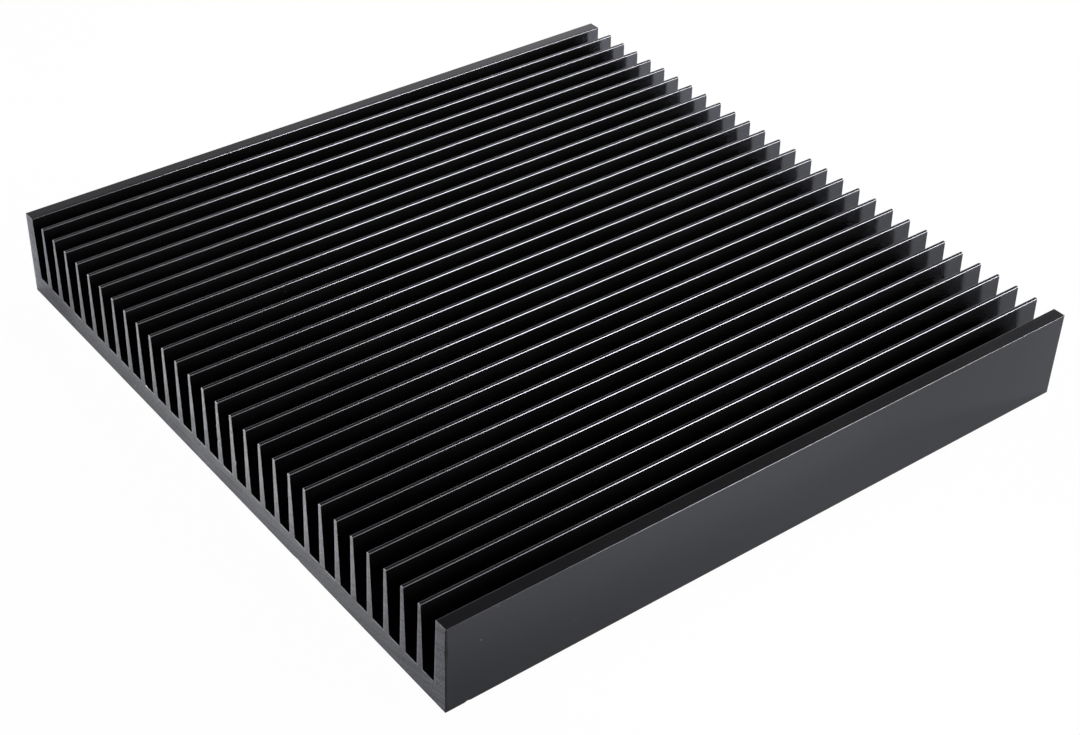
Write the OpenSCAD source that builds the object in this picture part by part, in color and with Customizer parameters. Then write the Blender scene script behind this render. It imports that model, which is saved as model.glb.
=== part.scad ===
// Extruded comb heat sink, all one piece of aluminium: a flat base plate with
// full-length tapered cooling fins, a thicker plain fin along each side, and
// both ends sawn square. Millimetres; it stands on its flat underside at z = 0,
// with the fins running along Y.

/* [Base plate] */
// Thickness of the base plate, from the underside to the slot floors
base_t = 9.4; // [5:0.1:16]
// Length of the cut bar, from one sawn end to the other
cut_l = 300; // [50:5:600]
// Round along the two long lower edges
base_edge_r = 0.4; // [0.2:0.1:1.5]

/* [Cooling fins] */
// Number of cooling fins between the two side fins
fin_n = 28; // [3:1:40]
// Distance from one fin's centre to the next one's
fin_pitch = 10; // [8:0.25:16]
// Height of the fins above the slot floors
fin_h = 29.1; // [12:0.1:50]
// Thickness of a cooling fin below its tip rounds
fin_tip_t = 1.5; // [1:0.1:3]
// Thickness of a cooling fin above its root fillets
fin_root_t = 3.4; // [2.6:0.1:5]
// Round on both edges of a cooling fin's tip
fin_tip_r = 0.5; // [0.2:0.05:0.7]
// Fillet between a slot's floor and its walls
slot_floor_r = 0.35; // [0.2:0.05:1]

/* [Side fins] */
// Thickness of a side fin below its top rounds
side_fin_t = 5.75; // [4:0.25:12]
// Round on a side fin's inner top edge, next to the slot
side_inner_r = 0.35; // [0.2:0.05:1.5]
// Round on a side fin's outer top edge
side_outer_r = 0.15; // [0.1:0.05:1.5]

/* [Hidden] */
$fn = 48;

slot_mouth_w = fin_pitch - fin_tip_t;
body_w = fin_n * fin_pitch + slot_mouth_w + 2 * side_fin_t;
body_h = base_t + fin_h;
// The fins' sections reach down to half of the base plate, which joins them
foot_z = base_t / 2;
// What one slot wall leans back from root to tip, the same for every slot
wall_lean = (fin_root_t - fin_tip_t) / 2;

// No round is wider than the wall that carries it
fin_round = min(fin_tip_r, 0.95 * fin_tip_t / 2);
side_inner_round = min(side_inner_r, 0.95 * side_fin_t / 2);
side_outer_round = min(side_outer_r, 0.95 * side_fin_t / 2);
base_round = min(base_edge_r, foot_z);

// A flank is the right-hand side of a fin, listed from its foot up. tip_x is
// where it meets the round of radius r on the fin's top edge. The flank's
// corners cut straight across that round and across the fillet at its foot.
function root_x(tip_x) = tip_x + wall_lean;
function flank(tip_x, r) = [
    [root_x(tip_x) + slot_floor_r, foot_z],
    [root_x(tip_x) + slot_floor_r, base_t],
    [root_x(tip_x), base_t + slot_floor_r],
    [tip_x, body_h - r],
    [tip_x - r, body_h]
];

// The same outline on the other side of x = 0, still listed anticlockwise
function mirrored(points) = [for (i = [len(points) - 1 : -1 : 0]) [-points[i][0], points[i][1]]];
function on_side(side, points) = side > 0 ? points : mirrored(points);

// The round that fills out a flank's top edge, with side = 1 to the right
module tip_round(side, tip_x, r) {
    translate([side * (tip_x - r), body_h - r])
        circle(r = r);
}

// What hollows the fillet at a flank's foot
module fillet_cut(side, tip_x) {
    translate([side * (root_x(tip_x) + slot_floor_r), base_t + slot_floor_r])
        circle(r = slot_floor_r);
}

// Section of one cooling fin, centred on x = 0
module fin_section() {
    edge = fin_tip_t / 2;
    difference() {
        polygon(concat(flank(edge, fin_round), mirrored(flank(edge, fin_round))));
        for (side = [-1, 1])
            fillet_cut(side, edge);
    }
    for (side = [-1, 1])
        tip_round(side, edge, fin_round);
}

// Section of a side fin, with its upright outer face at x = 0. Its inner flank
// faces right with side = 1, and left with side = -1.
module side_fin_section(side) {
    outer_face = [
        [side_outer_round, body_h],
        [0, body_h - side_outer_round],
        [0, foot_z]
    ];
    difference() {
        polygon(on_side(side, concat(flank(side_fin_t, side_inner_round), outer_face)));
        fillet_cut(side, side_fin_t);
    }
    tip_round(side, side_fin_t, side_inner_round);
    translate([side * side_outer_round, body_h - side_outer_round])
        circle(r = side_outer_round);
}

// Section of the base plate, with its two lower edges rounded
module base_section() {
    flat_x = body_w / 2 - base_round;
    polygon([
        [-flat_x, 0],
        [flat_x, 0],
        [body_w / 2, base_round],
        [body_w / 2, base_t],
        [-body_w / 2, base_t],
        [-body_w / 2, base_round]
    ]);
    for (side = [-1, 1])
        translate([side * flat_x, base_round])
            circle(r = base_round);
}

// The whole section: base plate, comb of cooling fins and two side fins
module extrusion_section() {
    base_section();
    for (i = [0 : fin_n - 1])
        translate([(i - (fin_n - 1) / 2) * fin_pitch, 0])
            fin_section();
    for (side = [-1, 1])
        translate([-side * body_w / 2, 0])
            side_fin_section(side);
}

// The bar, cut to length, with its middle over the origin
module heat_sink() {
    color("dimgray")
        rotate([90, 0, 0])
            translate([0, 0, -cut_l / 2])
                linear_extrude(height = cut_l)
                    extrusion_section();
}

heat_sink();
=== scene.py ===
"""Looks of the extruded comb heat sink: one black anodised bar with sawn ends, in a plain white studio.

The bar is built again over its CAD solid with the same section, so that the tip rounds and root
fillets are smooth and the sawn ends carry saw marks, broken edges and nicks. Everything is in
metres in the part's own frame: +Z up, fins along Y, underside at z = 0. The section and the sawn
faces are worked out in millimetres and scaled when the mesh is made.
"""

import math

import bmesh
import bpy
from mathutils import Euler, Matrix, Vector, noise
from mathutils.geometry import delaunay_2d_cdt


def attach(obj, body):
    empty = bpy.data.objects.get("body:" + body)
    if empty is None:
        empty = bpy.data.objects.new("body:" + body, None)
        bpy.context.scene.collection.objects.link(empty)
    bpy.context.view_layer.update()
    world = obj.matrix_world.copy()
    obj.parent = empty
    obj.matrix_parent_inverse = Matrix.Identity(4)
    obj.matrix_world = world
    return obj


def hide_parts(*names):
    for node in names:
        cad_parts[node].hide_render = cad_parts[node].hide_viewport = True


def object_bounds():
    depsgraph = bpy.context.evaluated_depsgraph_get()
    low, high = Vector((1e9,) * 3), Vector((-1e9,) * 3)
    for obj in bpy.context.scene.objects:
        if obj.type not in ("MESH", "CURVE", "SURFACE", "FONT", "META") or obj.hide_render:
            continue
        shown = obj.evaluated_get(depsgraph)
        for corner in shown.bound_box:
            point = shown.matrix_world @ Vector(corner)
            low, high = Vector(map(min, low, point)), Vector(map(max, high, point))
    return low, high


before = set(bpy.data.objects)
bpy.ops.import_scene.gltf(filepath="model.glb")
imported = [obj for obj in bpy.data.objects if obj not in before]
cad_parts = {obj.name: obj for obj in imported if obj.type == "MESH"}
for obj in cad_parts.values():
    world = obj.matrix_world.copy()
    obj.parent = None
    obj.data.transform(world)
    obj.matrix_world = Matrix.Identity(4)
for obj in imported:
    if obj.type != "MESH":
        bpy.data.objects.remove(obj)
CAD_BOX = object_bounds()

MM = 0.001

# Sizes of the section, in millimetres, as in the part's source
FIN_COUNT = 28
FIN_PITCH = 10
BASE_T = 9.4
FIN_TIP_T = 1.5
FIN_ROOT_T = 3.4
FIN_TIP_R = 0.5
SLOT_FLOOR_R = 0.35
SIDE_FIN_T = 5.75
SIDE_INNER_R = 0.35
SIDE_OUTER_R = 0.15
BASE_EDGE_R = 0.4
WALL_LEAN = (FIN_ROOT_T - FIN_TIP_T) / 2

# The bar's overall size comes from the CAD box
BAR_W, BAR_L, BAR_H = [(high - low) / MM for low, high in zip(*CAD_BOX)]

# How finely the mesh follows the section, in millimetres or steps
LONGEST_STRAIGHT = 1.5
TIP_STEPS = 10
SIDE_TIP_STEPS = 6
FILLET_STEPS = 4

# The two sawn ends, by the side of the origin that they are on
NEAR, FAR = -1, 1
# Width of their broken edges and how much it wanders, in millimetres, and how fast along the edge
EDGE_BREAK = 0.05
EDGE_BREAK_WANDER = 0.02
WANDER_RATE, WANDER_SEED = 0.9, 11.0
# The right-hand edge of each end is broken wider
RIGHT_EDGE_BREAK = {NEAR: 0.45, FAR: 0.25}
# Spacing of the points inside a sawn face, and the margin they leave at its outline, in millimetres
SAW_ROW = 0.4
SAW_COLUMN = 1.4
SAW_MARGIN = 0.45
# Middle of the arcs that the saw left on both ends, x and z in millimetres
BLADE_X, BLADE_Z = -20, 559
# Depth of the saw's waves in millimetres, and each wave's share, features to the millimetre
# along and across the arcs, and seed
SAW_DEPTH = 0.05
SAW_WAVES = [(0.35, 0.004, 0.16, 7.3), (0.3, 0.008, 0.6, 3.1), (0.15, 0.03, 1.3, 5.7)]
# Two lengths in millimetres closer than this are the same
SAME = 0.01


# ---------------------------------------------------------------- section


def arc(centre_x, centre_z, radius, start, end, steps):
    """Points along an arc, from start to end in degrees, both ends included."""
    turns = [math.radians(start + (end - start) * i / steps) for i in range(steps + 1)]
    return [(centre_x + radius * math.cos(a), centre_z + radius * math.sin(a)) for a in turns]


def fin_centres():
    """Middles of the cooling fins, from right to left."""
    return [(i - (FIN_COUNT - 1) / 2) * FIN_PITCH for i in reversed(range(FIN_COUNT))]


def section_arcs():
    """Every round and fillet of the section, anticlockwise from the lower left edge."""
    half = BAR_W / 2
    fillet_z = BASE_T + SLOT_FLOOR_R
    side_root = half - SIDE_FIN_T - WALL_LEAN - SLOT_FLOOR_R
    outer, outer_z = half - SIDE_OUTER_R, BAR_H - SIDE_OUTER_R
    inner, inner_z = half - SIDE_FIN_T + SIDE_INNER_R, BAR_H - SIDE_INNER_R
    arcs = [
        arc(-half + BASE_EDGE_R, BASE_EDGE_R, BASE_EDGE_R, 180, 270, FILLET_STEPS),
        arc(half - BASE_EDGE_R, BASE_EDGE_R, BASE_EDGE_R, 270, 360, FILLET_STEPS),
        arc(outer, outer_z, SIDE_OUTER_R, 0, 90, SIDE_TIP_STEPS),
        arc(inner, inner_z, SIDE_INNER_R, 90, 180, SIDE_TIP_STEPS),
        arc(side_root, fillet_z, SLOT_FLOOR_R, 0, -90, FILLET_STEPS),
    ]
    foot = FIN_ROOT_T / 2 + SLOT_FLOOR_R
    tip = FIN_TIP_T / 2 - FIN_TIP_R
    tip_z = BAR_H - FIN_TIP_R
    for x in fin_centres():
        arcs += [
            arc(x + foot, fillet_z, SLOT_FLOOR_R, -90, -180, FILLET_STEPS),
            arc(x + tip, tip_z, FIN_TIP_R, 0, 90, TIP_STEPS),
            arc(x - tip, tip_z, FIN_TIP_R, 90, 180, TIP_STEPS),
            arc(x - foot, fillet_z, SLOT_FLOOR_R, 0, -90, FILLET_STEPS),
        ]
    arcs += [
        arc(-side_root, fillet_z, SLOT_FLOOR_R, -90, -180, FILLET_STEPS),
        arc(-inner, inner_z, SIDE_INNER_R, 0, 90, SIDE_TIP_STEPS),
        arc(-outer, outer_z, SIDE_OUTER_R, 90, 180, SIDE_TIP_STEPS),
    ]
    return arcs


def section_outline():
    """The closed outline as (x, z) points, with the straight stretches between arcs cut into steps."""
    arcs = section_arcs()
    points = []
    for this, following in zip(arcs, arcs[1:] + arcs[:1]):
        points += this
        start, end = Vector(this[-1]), Vector(following[0])
        steps = math.ceil((end - start).length / LONGEST_STRAIGHT)
        points += [tuple(start.lerp(end, i / steps)) for i in range(1, steps)]
    return points


def inward_normals(outline):
    """For each point of an anticlockwise outline, the unit direction into the metal."""
    count = len(outline)
    normals = []
    for i in range(count):
        along = Vector(outline[(i + 1) % count]) - Vector(outline[i - 1])
        normals.append(Vector((-along.y, along.x)).normalized())
    return normals


# ---------------------------------------------------------------- sawn ends

# Nicks along the edges of the near end, in millimetres: x, z, reach and depth
NEAR_NICKS = [
    (150, 31.9, 1.3, 0.30),
    (150, 30.1, 0.6, 0.60),
    (150, 27.6, 2.4, 0.38),
    (150, 24.7, 0.7, 0.25),
    (150, 20.6, 1.1, 0.18),
    (150, 9.9, 0.8, 0.42),
    (150, 3.6, 0.9, 0.15),
    (58, 0, 1.6, 0.35),
    (-52.6, 9.4, 0.8, 0.30),
    (3.7, 20.0, 0.8, 0.35),
    (16.4, 17.6, 0.8, 0.40),
]
# Pits in the near sawn face with painted glints on them, in millimetres: x, z, reach and depth
NEAR_PITS = [
    (-62.9, 3.0, 0.5, 0.12),
    (-52.0, 8.6, 0.6, 0.12),
    (4.8, 20.0, 0.5, 0.10),
    (15.6, 17.6, 0.6, 0.10),
    (21.0, 4.5, 0.35, 0.08),
    (98.0, 3.2, 0.3, 0.06),
]
PIT_SIDES = 7
# Deep saw marks across the right side fin's near end, darkened with painted shade, in millimetres: z at its
# outer face, and depth
DEEP_MARKS = [(29.8, 0.10), (24.3, 0.09), (17.0, 0.04), (10.4, 0.05)]
DEEP_MARK_HALF_W = 0.16
DEEP_MARK_STEP = 0.5
DEEP_MARK_FROM, DEEP_MARK_TO = BAR_W / 2 - SIDE_FIN_T + 0.1, BAR_W / 2 - 0.9
# The plain points of a sawn face keep this far from those of its pits and deep marks
CLEAR_OF_DETAIL = 0.25
# Corners of the sawn faces' outlines that are closer than this are joined
CORNER_TOLERANCE = 1e-6

# Painted light on a sawn end, as how much brighter than the cut each kind of place is: painted highlights on
# the burrs of the rims by the side of the wall, painted shade on the underside rim, painted glints in the
# pits and painted shade in the deep marks
BURR_LEFT_HIGHLIGHT, BURR_TOP_HIGHLIGHT, BURR_RIGHT_HIGHLIGHT, UNDERSIDE_PAINTED_SHADE = 2.0, 1.4, 0.2, -0.8
PIT_PAINTED_GLINT, MARK_PAINTED_SHADE = 4.0, -2.4
# Up to this height, in millimetres, a rim belongs to the underside
UNDERSIDE_RIM = 0.5
# A rim whose inward direction points down more than this lies on top of a wall
TOP_RIM = -0.7


def from_blade(x, z):
    """Distance from the middle of the saw's arcs."""
    return math.hypot(x - BLADE_X, z - BLADE_Z)


def sawn_depth(x, z, end):
    """How far a point of a sawn face lies below the cut's highest marks."""
    arc_r = from_blade(x, z)
    height = 0.5
    for share, along, across, seed in SAW_WAVES:
        height += share * noise.noise(Vector((x * along, arc_r * across, seed * end)))
    return SAW_DEPTH * max(0.0, height)


def nick_depth(x, z, end):
    """How much deeper the edge is broken here by the nicks."""
    if end != NEAR:
        return 0.0
    deepest = 0.0
    for nick_x, nick_z, reach, depth in NEAR_NICKS:
        away = math.hypot(x - nick_x, z - nick_z) / reach
        if away < 1:
            deepest = max(deepest, depth * (1 - away * away))
    return deepest


def edge_break(x, z, end):
    """Width of the broken edge between the sawn face and the skin."""
    wander = noise.noise(Vector((x * WANDER_RATE, z * WANDER_RATE, WANDER_SEED * end)))
    width = RIGHT_EDGE_BREAK[end] if x > BAR_W / 2 - SAME else EDGE_BREAK
    return width + EDGE_BREAK_WANDER * wander + nick_depth(x, z, end)


def grid_between(low_x, high_x, z):
    """Evenly spread points of one row of a sawn face, clear of the outline on both sides."""
    low_x, high_x = low_x + SAW_MARGIN, high_x - SAW_MARGIN
    columns = max(1, round((high_x - low_x) / SAW_COLUMN))
    return [(low_x + (high_x - low_x) * (i + 0.5) / columns, z) for i in range(columns)]


def sawn_grid():
    """Inner points of a sawn face: rows across the base plate and up every fin."""
    half = BAR_W / 2
    points = []
    z = SAW_MARGIN
    while z < BASE_T - SAW_MARGIN:
        points += grid_between(-half, half, z)
        z += SAW_ROW
    z = BASE_T + SAW_MARGIN
    while z < BAR_H - SAW_MARGIN:
        narrower = WALL_LEAN * (z - BASE_T) / (BAR_H - BASE_T)
        reach = FIN_ROOT_T / 2 - narrower
        for x in fin_centres():
            points += grid_between(x - reach, x + reach, z)
        inner = half - SIDE_FIN_T - WALL_LEAN + narrower
        points += grid_between(inner, half, z) + grid_between(-half, -inner, z)
        z += SAW_ROW
    return points


def deep_mark_points():
    """Points across the deep saw marks, as (x, z, extra depth, painted light), with painted shade along the
    middle of each mark.
    """
    points = []
    for outer_z, depth in DEEP_MARKS:
        arc_r = from_blade(BAR_W / 2, outer_z)
        x = DEEP_MARK_FROM
        while x < DEEP_MARK_TO:
            for side in (-1, 0, 1):
                r = arc_r + side * DEEP_MARK_HALF_W
                z = BLADE_Z - math.sqrt(r * r - (x - BLADE_X) ** 2)
                points.append((x, z, 0.0 if side else depth, 0.0 if side else MARK_PAINTED_SHADE))
            x += DEEP_MARK_STEP
    return points


def pit_points():
    """Points round the pits, as (x, z, extra depth, painted light), with a painted glint on each pit's middle
    and inner ring.
    """
    points = []
    for pit_x, pit_z, reach, depth in NEAR_PITS:
        points.append((pit_x, pit_z, depth, PIT_PAINTED_GLINT))
        for share, painted_light in ((0.5, PIT_PAINTED_GLINT), (1.0, 0.0)):
            for i in range(PIT_SIDES):
                turn = 2 * math.pi * i / PIT_SIDES
                x, z = pit_x + share * reach * math.cos(turn), pit_z + share * reach * math.sin(turn)
                points.append((x, z, depth * (1 - share), painted_light))
    return points


def inner_points(end):
    """All points inside the rim of a sawn face, as (x, z, extra depth, painted light)."""
    detail = deep_mark_points() + pit_points() if end == NEAR else []
    plain = []
    for x, z in sawn_grid():
        if all(math.hypot(x - point[0], z - point[1]) > CLEAR_OF_DETAIL for point in detail):
            plain.append((x, z, 0.0, 0.0))
    return plain + detail


def sawn_face(bm, rim, end, painted_light_layer):
    """Fills the rim of one end with a face that carries the saw marks, and the painted light of its points as
    a vertex layer.
    """
    outline = [(v.co.x / MM, v.co.z / MM) for v in rim]
    inner = inner_points(end)
    places = [Vector(p) for p in outline] + [Vector(p[:2]) for p in inner]
    loop = list(range(len(outline)))
    found, _, triangles, origins, _, _ = delaunay_2d_cdt(places, [], [loop], 1, CORNER_TOLERANCE)
    verts = []
    for place, origin in zip(found, origins):
        if origin and origin[0] < len(rim):
            verts.append(rim[origin[0]])
            continue
        extra, painted_light = inner[origin[0] - len(rim)][2:] if origin else (0.0, 0.0)
        depth = sawn_depth(place.x, place.y, end) + extra
        vert = bm.verts.new(Vector((place.x, end * (BAR_L / 2 - depth), place.y)) * MM)
        vert[painted_light_layer] = painted_light
        verts.append(vert)
    faces = []
    for triangle in triangles:
        corners = [verts[i] for i in triangle]
        if end == FAR:
            corners.reverse()
        faces.append(bm.faces.new(corners))
    return faces


# ---------------------------------------------------------------- bar

# The bar's material slots
SKIN, SAWN, WORN_AND_SHADED = 0, 1, 2
# Where the rings of the skin lie along the bar, closer together round the ding in its lower edge
RINGS = [-147, -142.4, -141.6, -140.9, -140.2, -139.4, -135, -90, -30, 30, 90, 135, 147]
# The ding's middle, reach and depth, in millimetres
DING = (BAR_W / 2, -140.9, 0.2)
DING_REACH, DING_DEPTH = 0.9, 0.25


def skin_point(x, y, z, inward):
    """A point of the skin, pushed in where the lower edge has its ding."""
    away = (Vector((x, y, z)) - Vector(DING)).length / DING_REACH
    push = DING_DEPTH * (1 - away * away) if away < 1 else 0.0
    return (x + inward.x * push, y, z + inward.y * push)


def rim_painted_light(vert, inward):
    """The painted light at a point of a sawn end's rim, by the side of the wall that it lies on: a painted
    highlight on the burrs at the tops and left sides, little on the right sides, painted shade at the
    underside.
    """
    if vert.co.z < UNDERSIDE_RIM * MM:
        return UNDERSIDE_PAINTED_SHADE
    if inward.y < TOP_RIM:
        return BURR_TOP_HIGHLIGHT
    return BURR_LEFT_HIGHLIGHT if inward.x > 0 else BURR_RIGHT_HIGHLIGHT


def is_worn(place):
    """Whether a place on the skin, in millimetres, is on one of the dull lower edges."""
    return abs(place.x) > BAR_W / 2 - BASE_EDGE_R and place.z < BASE_EDGE_R + DING_DEPTH


def ring(bm, points):
    """New vertices of the mesh at points in millimetres."""
    return [bm.verts.new(Vector(p) * MM) for p in points]


def bridge(bm, first, second, material, flip=False):
    """Joins two rings with a band of quads."""
    faces = []
    count = len(first)
    for i in range(count):
        j = (i + 1) % count
        corners = [first[i], first[j], second[j], second[i]]
        if flip:
            corners.reverse()
        face = bm.faces.new(corners)
        face.material_index = material
        faces.append(face)
    return faces


def build_bar():
    """The whole bar as one closed mesh: skin, broken edges and sawn faces."""
    outline = section_outline()
    inward = inward_normals(outline)
    bm = bmesh.new()
    # A vertex layer of painted light: painted highlights on the rims' burrs and glints in the pits, painted
    # shade on the underside rim and in the deep marks
    painted_light = bm.verts.layers.float.new("painted_light")
    rims, edges = {}, {}
    for end in (NEAR, FAR):
        rim, edge = [], []
        for (x, z), direction in zip(outline, inward):
            width = edge_break(x, z, end)
            depth = sawn_depth(x, z, end)
            rim.append((x + direction.x * width, end * (BAR_L / 2 - depth), z + direction.y * width))
            edge.append((x, end * (BAR_L / 2 - depth - width), z))
        rims[end], edges[end] = ring(bm, rim), ring(bm, edge)
    rings = [edges[NEAR]]
    for y in RINGS:
        rings.append(ring(bm, [skin_point(x, y, z, direction) for (x, z), direction in zip(outline, inward)]))
    rings.append(edges[FAR])
    for first, second in zip(rings, rings[1:]):
        for face in bridge(bm, first, second, SKIN):
            if is_worn(face.calc_center_median() / MM):
                face.material_index = WORN_AND_SHADED
    # The sawn ends' rims along the underside and at the right-hand edge get the dark edge material as painted
    # shade
    for end in (NEAR, FAR):
        for face in bridge(bm, rims[end], edges[end], SAWN, flip=end == FAR):
            middle = face.calc_center_median() / MM
            if middle.z < UNDERSIDE_RIM or middle.x > BAR_W / 2 - RIGHT_EDGE_BREAK[end]:
                face.material_index = WORN_AND_SHADED
        for face in sawn_face(bm, rims[end], end, painted_light):
            face.material_index = SAWN
        for loop in (rims[end], edges[end]):
            for i, vert in enumerate(loop):
                bm.edges.get((vert, loop[i - 1])).smooth = False
        for vert, direction in zip(rims[end], inward):
            vert[painted_light] = rim_painted_light(vert, direction)
    for face in bm.faces:
        face.smooth = True
    mesh = bpy.data.meshes.new("finned_bar")
    bm.to_mesh(mesh)
    bm.free()
    bar = bpy.data.objects.new("finned_bar", mesh)
    bpy.context.collection.objects.link(bar)
    weighted = bar.modifiers.new("face_weighted_normals", "WEIGHTED_NORMAL")
    weighted.keep_sharp = True
    return bar


# ---------------------------------------------------------------- materials

# The share of a spot's radius that it fills evenly
SPOT_CORE = 0.6


class Nodes:
    """A short way to add and join shader nodes of one material."""

    def __init__(self, name):
        self.material = bpy.data.materials.new(name)
        self.material.use_nodes = True
        self.tree = self.material.node_tree
        self.shader = self.tree.nodes["Principled BSDF"]

    def add(self, kind, inputs=None, **settings):
        node = self.tree.nodes.new(kind)
        for key, value in settings.items():
            setattr(node, key, value)
        for key, value in (inputs or {}).items():
            self.put(value, node.inputs[key])
        return node

    def put(self, value, socket):
        if isinstance(value, bpy.types.NodeSocket):
            self.tree.links.new(value, socket)
        else:
            socket.default_value = value

    def object_mm(self, stretch):
        """Places on the piece in millimetres, each axis times its stretch."""
        place = self.add("ShaderNodeTexCoord").outputs["Object"]
        scale = [s / MM for s in stretch]
        return self.add("ShaderNodeMapping", {"Vector": place, "Scale": scale}).outputs["Vector"]

    def noise(self, stretch, detail=2.0, roughness=0.5):
        """Noise from 0 to 1, with so many features to the millimetre along each axis."""
        where = self.object_mm(stretch)
        inputs = {"Vector": where, "Scale": 1.0, "Detail": detail, "Roughness": roughness}
        return self.add("ShaderNodeTexNoise", inputs).outputs["Fac"]

    def saw_noise(self, along, across, detail=2.0, roughness=0.5):
        """Noise from 0 to 1 in arcs as the saw swept, with so many features to the millimetre."""
        place = self.object_mm((1, 1, 1))
        middle = (BLADE_X, 0, BLADE_Z)
        from_middle = self.add("ShaderNodeVectorMath", {0: place, 1: middle}, operation="SUBTRACT")
        without_depth = {0: from_middle.outputs[0], 1: (1, 0, 1)}
        in_face = self.add("ShaderNodeVectorMath", without_depth, operation="MULTIPLY").outputs[0]
        arc_r = self.add("ShaderNodeVectorMath", {0: in_face}, operation="LENGTH").outputs["Value"]
        sides = self.add("ShaderNodeSeparateXYZ", {"Vector": place})
        where = {"X": sides.outputs["X"], "Y": sides.outputs["Y"], "Z": arc_r}
        swept = self.add("ShaderNodeCombineXYZ", where).outputs[0]
        scaled = self.add("ShaderNodeVectorMath", {0: swept, 1: (along, 1.0, across)}, operation="MULTIPLY")
        inputs = {"Vector": scaled.outputs[0], "Scale": 1.0, "Detail": detail, "Roughness": roughness}
        return self.add("ShaderNodeTexNoise", inputs).outputs["Fac"]

    def spot(self, centre, radius):
        """1 within so many millimetres of a place, softly falling to 0."""
        ends = {0: self.object_mm((1, 1, 1)), 1: centre}
        apart = self.add("ShaderNodeVectorMath", ends, operation="DISTANCE").outputs["Value"]
        return self.fit(apart, radius * SPOT_CORE, radius, 1.0, 0.0)

    def fit(self, value, from_low, from_high, to_low, to_high):
        """A value moved from one range to another and held inside it."""
        names = ["Value", "From Min", "From Max", "To Min", "To Max"]
        values = [value, from_low, from_high, to_low, to_high]
        return self.add("ShaderNodeMapRange", dict(zip(names, values))).outputs["Result"]

    def vary(self, noise_value, low, high, reach=0.2):
        """A noise moved so that its middle part, within reach of 0.5, goes from low to high."""
        return self.fit(noise_value, 0.5 - reach, 0.5 + reach, low, high)

    def maths(self, operation, a, b):
        node = self.add("ShaderNodeMath", operation=operation)
        self.put(a, node.inputs[0])
        self.put(b, node.inputs[1])
        return node.outputs[0]

    def blend(self, share, a, b):
        """Colour a at share 0 and colour b at share 1."""
        node = self.add("ShaderNodeMix", data_type="RGBA")
        self.put(share, node.inputs["Factor"])
        self.put(a, node.inputs["A"])
        self.put(b, node.inputs["B"])
        return node.outputs["Result"]

    def bump(self, height, distance):
        """The surface raised by height times distance, in metres."""
        inputs = {"Height": height, "Distance": distance, "Strength": 1.0}
        return self.add("ShaderNodeBump", inputs).outputs["Normal"]


def grey(level, blue=1.0):
    """A grey colour, with its blue raised by a factor."""
    return (level, level, level * blue, 1.0)


# The skin's darkest and lightest colour and a chip's, the tint of its gloss, and the height of the die lines
SKIN_DARK, SKIN_LIGHT, BARE_CHIP = grey(0.0014), grey(0.0026), grey(0.10)
SKIN_SHEEN = (0.89, 0.89, 1.0, 1.0)
SKIN_IOR = 1.65
DIE_LINE_HEIGHT = 0.0000004
# Tiny chips in the skin of the right-hand wall: x, y, z and radius, in millimetres
CHIPS = [(150, -135.8, 25.9, 0.35), (150, -128.7, 37.2, 0.3), (150, -96.0, 12.5, 0.25)]


def anodised_skin():
    """Satin black anodised aluminium with faint lines along the bar from the die."""
    n = Nodes("black_anodised")
    die_lines = n.noise((3.2, 0.006, 3.2), detail=3)
    broad_lines = n.noise((0.5, 0.002, 0.5), detail=2)
    clouds = n.noise((0.035, 0.02, 0.035), detail=3)
    tone = n.maths("ADD", n.vary(die_lines, -0.3, 0.3, reach=0.15), n.vary(clouds, 0.1, 0.9))
    skin = n.blend(tone, SKIN_DARK, SKIN_LIGHT)
    chips = 0.0
    for x, y, z, radius in CHIPS:
        chips = n.maths("MAXIMUM", n.spot((x, y, z), radius), chips)
    n.put(n.blend(chips, skin, BARE_CHIP), n.shader.inputs["Base Color"])
    rough = n.maths("ADD", n.vary(clouds, 0.15, 0.18), n.vary(broad_lines, -0.01, 0.01))
    n.put(rough, n.shader.inputs["Roughness"])
    n.put(n.bump(die_lines, DIE_LINE_HEIGHT), n.shader.inputs["Normal"])
    n.shader.inputs["IOR"].default_value = SKIN_IOR
    n.shader.inputs["Specular Tint"].default_value = SKIN_SHEEN
    return n.material


# The darkest and lightest colour of the worn lower edges and of the painted shade on the sawn rims
BROKEN_DARK, BROKEN_LIGHT = grey(0.004, 1.05), grey(0.012, 1.05)


def worn_edge_and_painted_shade():
    """A dull dark edge: the worn lower edges of the skin, and painted shade on the sawn ends' rims along the
    underside and at the right-hand edge.
    """
    n = Nodes("worn_edge_and_painted_shade")
    chatter = n.noise((1.5, 1.5, 1.5), detail=3)
    tone = n.vary(chatter, 0.0, 1.0, reach=0.15)
    n.put(n.blend(tone, BROKEN_DARK, BROKEN_LIGHT), n.shader.inputs["Base Color"])
    n.put(n.vary(chatter, 0.5, 0.6, reach=0.15), n.shader.inputs["Roughness"])
    return n.material


# Painted light on the cuts: where across the bar it is full, and where it has faded out, in millimetres
PAINTED_LIGHT_FROM, PAINTED_LIGHT_TO = 20, 60
PAINTED_LIGHT_LEFT_END, PAINTED_LIGHT_RIGHT_END = -160, 150
# Painted shade towards the foot: the same up the fins, where the painted light soon reaches its full from
# this share of it
PAINTED_SHADE_FOOT, PAINTED_LIGHT_TOP, FOOT_LIGHT_SHARE = 3, 24, 0.25
# How much painted shade darkens the cuts further towards both side fins, and over which stretch, in
# millimetres
LEFT_PAINTED_SHADE, LEFT_STRETCH = -0.2, (-140, -105)
RIGHT_PAINTED_SHADE, RIGHT_STRETCH = -0.18, (118, 143)
# How much marks, bands, grain, and the painted highlights and shade at rims, pits and deep marks change the
# tone either way
MARK_TONE, BAND_TONE, GRAIN_TONE, PAINTED_LIGHT_TONE = 0.16, 0.10, 0.28, 0.2
# The tones of the dullest and the brightest metal, and their colours
DULLEST, BRIGHTEST = -0.4, 1.0
SAWN_DARK, SAWN_LIGHT = grey(0.20, 1.12), grey(0.97, 1.02)
# Height of the marks' relief in metres, and the grain's share of it
MARK_HEIGHT, GRAIN_SHARE = 0.00003, 0.5


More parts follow.
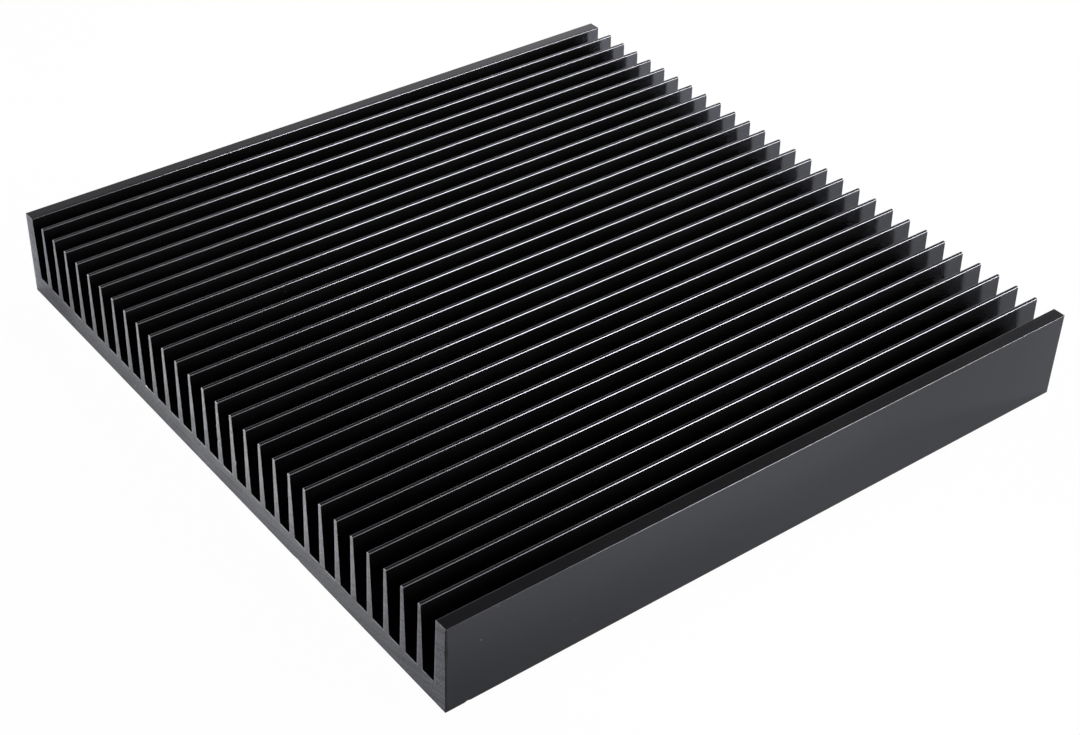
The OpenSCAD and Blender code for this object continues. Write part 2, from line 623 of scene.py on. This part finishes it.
def sawn_aluminium():
    """Bare aluminium as the saw left it, with fine marks across the bar, and painted light and shade in its
    tone.
    """
    n = Nodes("sawn_aluminium")
    marks = n.saw_noise(0.05, 2.2, detail=4, roughness=0.6)
    bands = n.saw_noise(0.012, 0.45, detail=2)
    grain = n.noise((0.9, 1.0, 1.6), detail=4, roughness=0.7)
    # The painted highlights and shade that the bar's vertices carry
    painted_light = n.add("ShaderNodeAttribute", attribute_name="painted_light").outputs["Fac"]
    place = n.add("ShaderNodeSeparateXYZ", {"Vector": n.object_mm((1, 1, 1))})
    x, z = place.outputs["X"], place.outputs["Z"]
    # Painted light: brightest across the middle of the bar and up the fins, painted shade towards the foot
    # and both sides
    rise = n.fit(x, PAINTED_LIGHT_LEFT_END, PAINTED_LIGHT_FROM, 0.0, 1.0)
    fall = n.fit(x, PAINTED_LIGHT_TO, PAINTED_LIGHT_RIGHT_END, 1.0, 0.0)
    upwards = n.fit(z, PAINTED_SHADE_FOOT, PAINTED_LIGHT_TOP, FOOT_LIGHT_SHARE, 1.0)
    tones = [
        n.maths("MULTIPLY", n.maths("MULTIPLY", rise, fall), upwards),
        n.vary(marks, -MARK_TONE, MARK_TONE),
        n.vary(bands, -BAND_TONE, BAND_TONE),
        n.vary(grain, -GRAIN_TONE, GRAIN_TONE),
        n.maths("MULTIPLY", painted_light, PAINTED_LIGHT_TONE),
        n.fit(x, *LEFT_STRETCH, LEFT_PAINTED_SHADE, 0.0),
        n.fit(x, *RIGHT_STRETCH, 0.0, RIGHT_PAINTED_SHADE),
    ]
    tone = tones[0]
    for change in tones[1:]:
        tone = n.maths("ADD", tone, change)
    share = n.fit(tone, DULLEST, BRIGHTEST, 0.0, 1.0)
    n.put(n.blend(share, SAWN_DARK, SAWN_LIGHT), n.shader.inputs["Base Color"])
    n.put(n.vary(marks, 0.48, 0.6), n.shader.inputs["Roughness"])
    height = n.maths("ADD", marks, n.maths("MULTIPLY", grain, GRAIN_SHARE))
    n.put(n.bump(height, MARK_HEIGHT), n.shader.inputs["Normal"])
    n.shader.inputs["Metallic"].default_value = 1.0
    return n.material


# ---------------------------------------------------------------- studio

# The floor's half width, and how far it lies under the bar, in metres
FLOOR_HALF, FLOOR_DROP = 4.0, 0.00003
FLOOR_COLOUR = (0.264, 0.271, 0.282, 1.0)
# The share of white that covers the floor's own colour for the camera, so that the shadow stays faint
WHITENED = 0.985


def flat_floor():
    """A wide pale floor, nearly white to the camera, on which the shadow stays faint."""
    bm = bmesh.new()
    bmesh.ops.create_grid(bm, x_segments=4, y_segments=4, size=FLOOR_HALF)
    mesh = bpy.data.meshes.new("studio_floor")
    bm.to_mesh(mesh)
    bm.free()
    floor = bpy.data.objects.new("studio_floor", mesh)
    floor.location.z = -FLOOR_DROP
    bpy.context.collection.objects.link(floor)
    n = Nodes("studio_floor")
    n.shader.inputs["Base Color"].default_value = FLOOR_COLOUR
    n.shader.inputs["Roughness"].default_value = 0.9
    n.shader.inputs["Specular IOR Level"].default_value = 0.0
    white = n.add("ShaderNodeEmission", {"Color": grey(1.0), "Strength": 1.0})
    seen = n.add("ShaderNodeLightPath").outputs["Is Camera Ray"]
    share = n.maths("MULTIPLY", seen, WHITENED)
    mixed = n.add("ShaderNodeMixShader", {0: share, 1: n.shader.outputs[0], 2: white.outputs[0]})
    n.put(mixed.outputs[0], n.tree.nodes["Material Output"].inputs["Surface"])
    mesh.materials.append(n.material)


# Brightness of the surroundings that the metal mirrors: walls, then a ceiling, by the sine of the
# height above the floor
WALL_BRIGHT, CEILING_DIM = 1.5, 0.13
WALL_TOP, CEILING_FROM = 0.415, 0.54
# Brightness of the surroundings that light the object
AMBIENT = 0.38


def surroundings():
    """White round the object: plain white to the camera, pale walls and a dim ceiling to the metal."""
    world = bpy.data.worlds.new("studio")
    bpy.context.scene.world = world
    world.use_nodes = True
    tree = world.node_tree
    nodes, links = tree.nodes, tree.links
    path = nodes.new("ShaderNodeLightPath")
    height = nodes.new("ShaderNodeSeparateXYZ")
    links.new(nodes.new("ShaderNodeTexCoord").outputs["Generated"], height.inputs[0])
    mirrored = nodes.new("ShaderNodeMapRange")
    mirrored.interpolation_type = "SMOOTHSTEP"
    links.new(height.outputs["Z"], mirrored.inputs["Value"])
    for name, value in {
        "From Min": WALL_TOP,
        "From Max": CEILING_FROM,
        "To Min": WALL_BRIGHT,
        "To Max": CEILING_DIM,
    }.items():
        mirrored.inputs[name].default_value = value
    glossy = nodes.new("ShaderNodeMix")
    glossy.inputs["A"].default_value = AMBIENT
    links.new(path.outputs["Is Glossy Ray"], glossy.inputs["Factor"])
    links.new(mirrored.outputs["Result"], glossy.inputs["B"])
    camera = nodes.new("ShaderNodeMix")
    camera.inputs["B"].default_value = 1.0
    links.new(path.outputs["Is Camera Ray"], camera.inputs["Factor"])
    links.new(glossy.outputs["Result"], camera.inputs["A"])
    links.new(camera.outputs["Result"], nodes["Background"].inputs["Strength"])
    nodes["Background"].inputs["Color"].default_value = grey(1.0)


def soft_lamp(name, place, aim, width, height, radiance, spread=180):
    """A rectangular soft lamp of an even brightness, where white is 1."""
    data = bpy.data.lights.new(name, "AREA")
    data.shape = "RECTANGLE"
    data.size, data.size_y = width, height
    data.energy = radiance * math.pi * width * height
    data.spread = math.radians(spread)
    lamp = bpy.data.objects.new(name, data)
    lamp.location = place
    lamp.rotation_euler = (Vector(aim) - Vector(place)).to_track_quat("-Z", "Y").to_euler()
    lamp.visible_camera = False
    bpy.context.collection.objects.link(lamp)


def lamps():
    """An upright softbox at the right behind the bar with a dimmer part, two floor lamps and a front fill."""
    soft_lamp("main_softbox", (0.80, 0.618, 0.37), (0.0, 0.618, 0.37), 0.536, 0.50, 35.0, spread=130)
    soft_lamp("softbox_near_part", (0.80, 0.25, 0.37), (0.0, 0.25, 0.37), 0.20, 0.50, 3.2, spread=130)
    soft_lamp("back_floor_lamp", (-0.22, 0.92, 0.42), (-0.16, 0.17, 0.0), 0.36, 0.2, 13.2, spread=27)
    soft_lamp("side_floor_lamp", (0.40, -0.05, 0.35), (0.24, -0.05, 0.0), 0.24, 0.06, 5.0, spread=28)
    soft_lamp("front_fill", (-0.9, -1.6, 0.9), (0.0, 0.0, 0.0), 1.4, 1.0, 1.5)


# The card behind the far end: its gap to the cut, its thickness, and how far it stays below the fin tips
CARD_GAP, CARD_T, CARD_BELOW = 0.002, 0.001, 0.0002


def glare_card():
    """An unseen card close behind the far end that keeps the softbox's glare off its bare cut."""
    half, back, top = BAR_W / 2 * MM, BAR_L / 2 * MM + CARD_GAP, BAR_H * MM - CARD_BELOW
    bm = bmesh.new()
    bmesh.ops.create_cube(bm, size=1.0)
    for vert in bm.verts:
        vert.co.x *= 2 * half
        vert.co.y = back + (vert.co.y + 0.5) * CARD_T
        vert.co.z = (vert.co.z + 0.5) * top
    mesh = bpy.data.meshes.new("glare_card")
    bm.to_mesh(mesh)
    bm.free()
    card = bpy.data.objects.new("glare_card", mesh)
    bpy.context.collection.objects.link(card)
    n = Nodes("glare_card")
    n.shader.inputs["Base Color"].default_value = grey(0.0)
    n.shader.inputs["Specular IOR Level"].default_value = 0.0
    mesh.materials.append(n.material)
    card.visible_camera = card.visible_diffuse = card.visible_glossy = card.visible_transmission = False


# ---------------------------------------------------------------- camera

# Place in metres, turn in degrees about X, Y and Z, and lens and sensor width in millimetres
CAMERA_PLACE = (0.5209, -0.4140, 0.4889)
CAMERA_TURN = (52.881, -1.718, 52.462)
LENS, SENSOR_W = 66.1, 36


def camera():
    data = bpy.data.cameras.new("camera")
    data.lens = LENS
    data.sensor_width = SENSOR_W
    data.clip_start = 0.01
    view = bpy.data.objects.new("camera", data)
    view.location = CAMERA_PLACE
    view.rotation_euler = Euler([math.radians(a) for a in CAMERA_TURN])
    bpy.context.collection.objects.link(view)
    bpy.context.scene.camera = view


# ---------------------------------------------------------------- scene

camera()
surroundings()
lamps()
flat_floor()
glare_card()

bar = build_bar()
for material in (anodised_skin(), sawn_aluminium(), worn_edge_and_painted_shade()):
    bar.data.materials.append(material)
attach(bar, "root")
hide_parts("heat_sink")

bpy.context.scene.view_settings.view_transform = "Standard"
